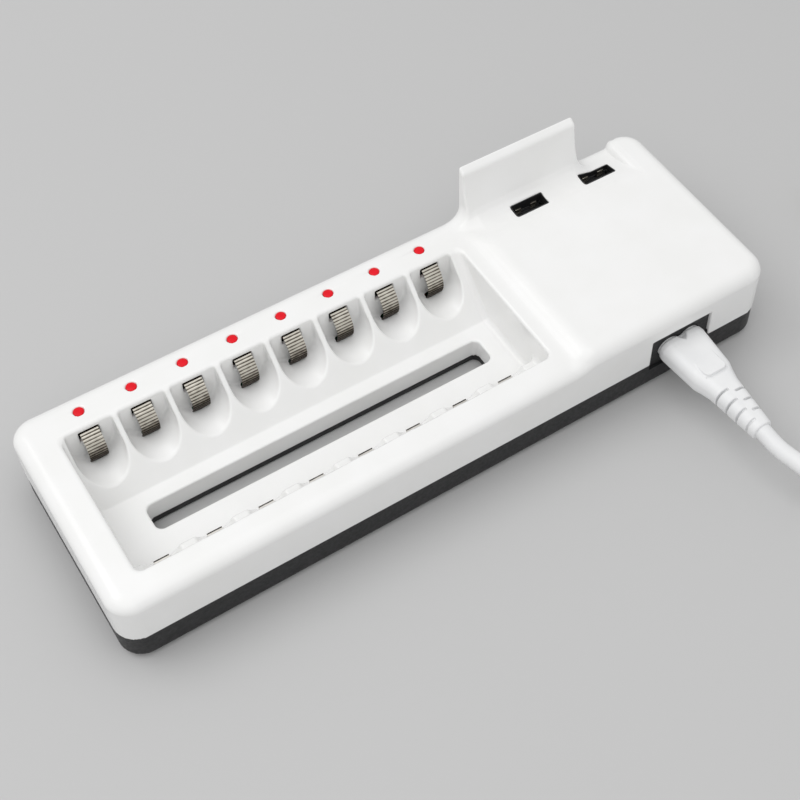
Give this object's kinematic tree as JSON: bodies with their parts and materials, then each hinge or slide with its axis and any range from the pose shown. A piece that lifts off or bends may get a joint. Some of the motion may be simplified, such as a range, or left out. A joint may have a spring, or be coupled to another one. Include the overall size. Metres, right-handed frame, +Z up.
{
  "type": "battery charger",
  "caption": "Desk charger for round cells with a tray of sprung bays, red lamps along the rim, a raised block with power sockets, a phone rest and a mains cord.",
  "frame": {"origin": "under the middle of the housing, on the surface that the feet stand on", "axes": "+X along the row of bays towards the socket block, +Y from the mains inlet to the phone rest, +Z up"},
  "size_m": [0.323, 0.1812, 0.0515],
  "materials": {
    "white_housing": "smooth gloss",
    "dark_base": "fine satin",
    "inlet_plastic": "satin",
    "circuit_board": "solder mask",
    "spring_metal": "ribbed, tarnished plating",
    "plate_metal": "plated strip",
    "red_lens": "diffused lens",
    "bright_steel": "plated",
    "black_plastic": "satin",
    "ferrite": "sintered",
    "winding_tape": "wrapped tape",
    "capacitor_sleeve": "shrunk sleeve",
    "copper_wire": "enamelled wire",
    "fuse_body": "ceramic",
    "foot_rubber": "matt",
    "plug_metal": "plated",
    "cord_plastic": "soft satin"
  },
  "bodies": {
    "housing": {"top_cover": "white_housing", "base": "dark_base", "main_board": "circuit_board", "socket_board": "circuit_board", "positive_contact_1": "plate_metal", "positive_contact_2": "plate_metal", "positive_contact_3": "plate_metal", "positive_contact_4": "plate_metal", "positive_contact_5": "plate_metal", "positive_contact_6": "plate_metal", "positive_contact_7": "plate_metal", "positive_contact_8": "plate_metal", "lamp_1": "red_lens", "lamp_2": "red_lens", "lamp_3": "red_lens", "lamp_4": "red_lens", "lamp_5": "red_lens", "lamp_6": "red_lens", "lamp_7": "red_lens", "lamp_8": "red_lens", "socket_shell_1": "bright_steel", "socket_shell_2": "bright_steel", "socket_tongue_1": "black_plastic", "socket_tongue_2": "black_plastic", "ac_inlet": "inlet_plastic", "inlet_pins": "bright_steel", "transformer_core": "ferrite", "transformer_winding": "winding_tape", "bulk_capacitor": "capacitor_sleeve", "output_capacitor": "capacitor_sleeve", "line_choke": "copper_wire", "rectifier": "black_plastic", "fuse": "fuse_body", "controller_chip": "black_plastic", "case_screws": "bright_steel", "foot_1": "foot_rubber", "foot_2": "foot_rubber", "foot_3": "foot_rubber", "foot_4": "foot_rubber", "cord_connector": "cord_plastic", "cord_lead": "cord_plastic", "cord_coil": "cord_plastic", "cord_tail": "cord_plastic", "cord_tie": "cord_plastic", "mains_plug": "cord_plastic", "plug_pins": "plug_metal"},
    "contact_1": {"spring_contact_1": "spring_metal"},
    "contact_2": {"spring_contact_2": "spring_metal"},
    "contact_3": {"spring_contact_3": "spring_metal"},
    "contact_4": {"spring_contact_4": "spring_metal"},
    "contact_5": {"spring_contact_5": "spring_metal"},
    "contact_6": {"spring_contact_6": "spring_metal"},
    "contact_7": {"spring_contact_7": "spring_metal"},
    "contact_8": {"spring_contact_8": "spring_metal"}
  },
  "joints": [
    {"name": "contact_flex_1", "type": "hinge", "parent": "housing", "child": "contact_1", "pos_m": [-0.0976, 0.0252, 0.0073], "axis": [-1, 0, 0], "range_deg": [0, 8], "stiffness_Nm_per_rad": 0.15},
    {"name": "contact_flex_2", "type": "hinge", "parent": "housing", "child": "contact_2", "pos_m": [-0.0801, 0.0252, 0.0073], "axis": [-1, 0, 0], "range_deg": [0, 8], "stiffness_Nm_per_rad": 0.15},
    {"name": "contact_flex_3", "type": "hinge", "parent": "housing", "child": "contact_3", "pos_m": [-0.0626, 0.0252, 0.0073], "axis": [-1, 0, 0], "range_deg": [0, 8], "stiffness_Nm_per_rad": 0.15},
    {"name": "contact_flex_4", "type": "hinge", "parent": "housing", "child": "contact_4", "pos_m": [-0.0451, 0.0252, 0.0073], "axis": [-1, 0, 0], "range_deg": [0, 8], "stiffness_Nm_per_rad": 0.15},
    {"name": "contact_flex_5", "type": "hinge", "parent": "housing", "child": "contact_5", "pos_m": [-0.0276, 0.0252, 0.0073], "axis": [-1, 0, 0], "range_deg": [0, 8], "stiffness_Nm_per_rad": 0.15},
    {"name": "contact_flex_6", "type": "hinge", "parent": "housing", "child": "contact_6", "pos_m": [-0.0101, 0.0252, 0.0073], "axis": [-1, 0, 0], "range_deg": [0, 8], "stiffness_Nm_per_rad": 0.15},
    {"name": "contact_flex_7", "type": "hinge", "parent": "housing", "child": "contact_7", "pos_m": [0.0074, 0.0252, 0.0073], "axis": [-1, 0, 0], "range_deg": [0, 8], "stiffness_Nm_per_rad": 0.15},
    {"name": "contact_flex_8", "type": "hinge", "parent": "housing", "child": "contact_8", "pos_m": [0.0249, 0.0252, 0.0073], "axis": [-1, 0, 0], "range_deg": [0, 8], "stiffness_Nm_per_rad": 0.15}
  ]
}
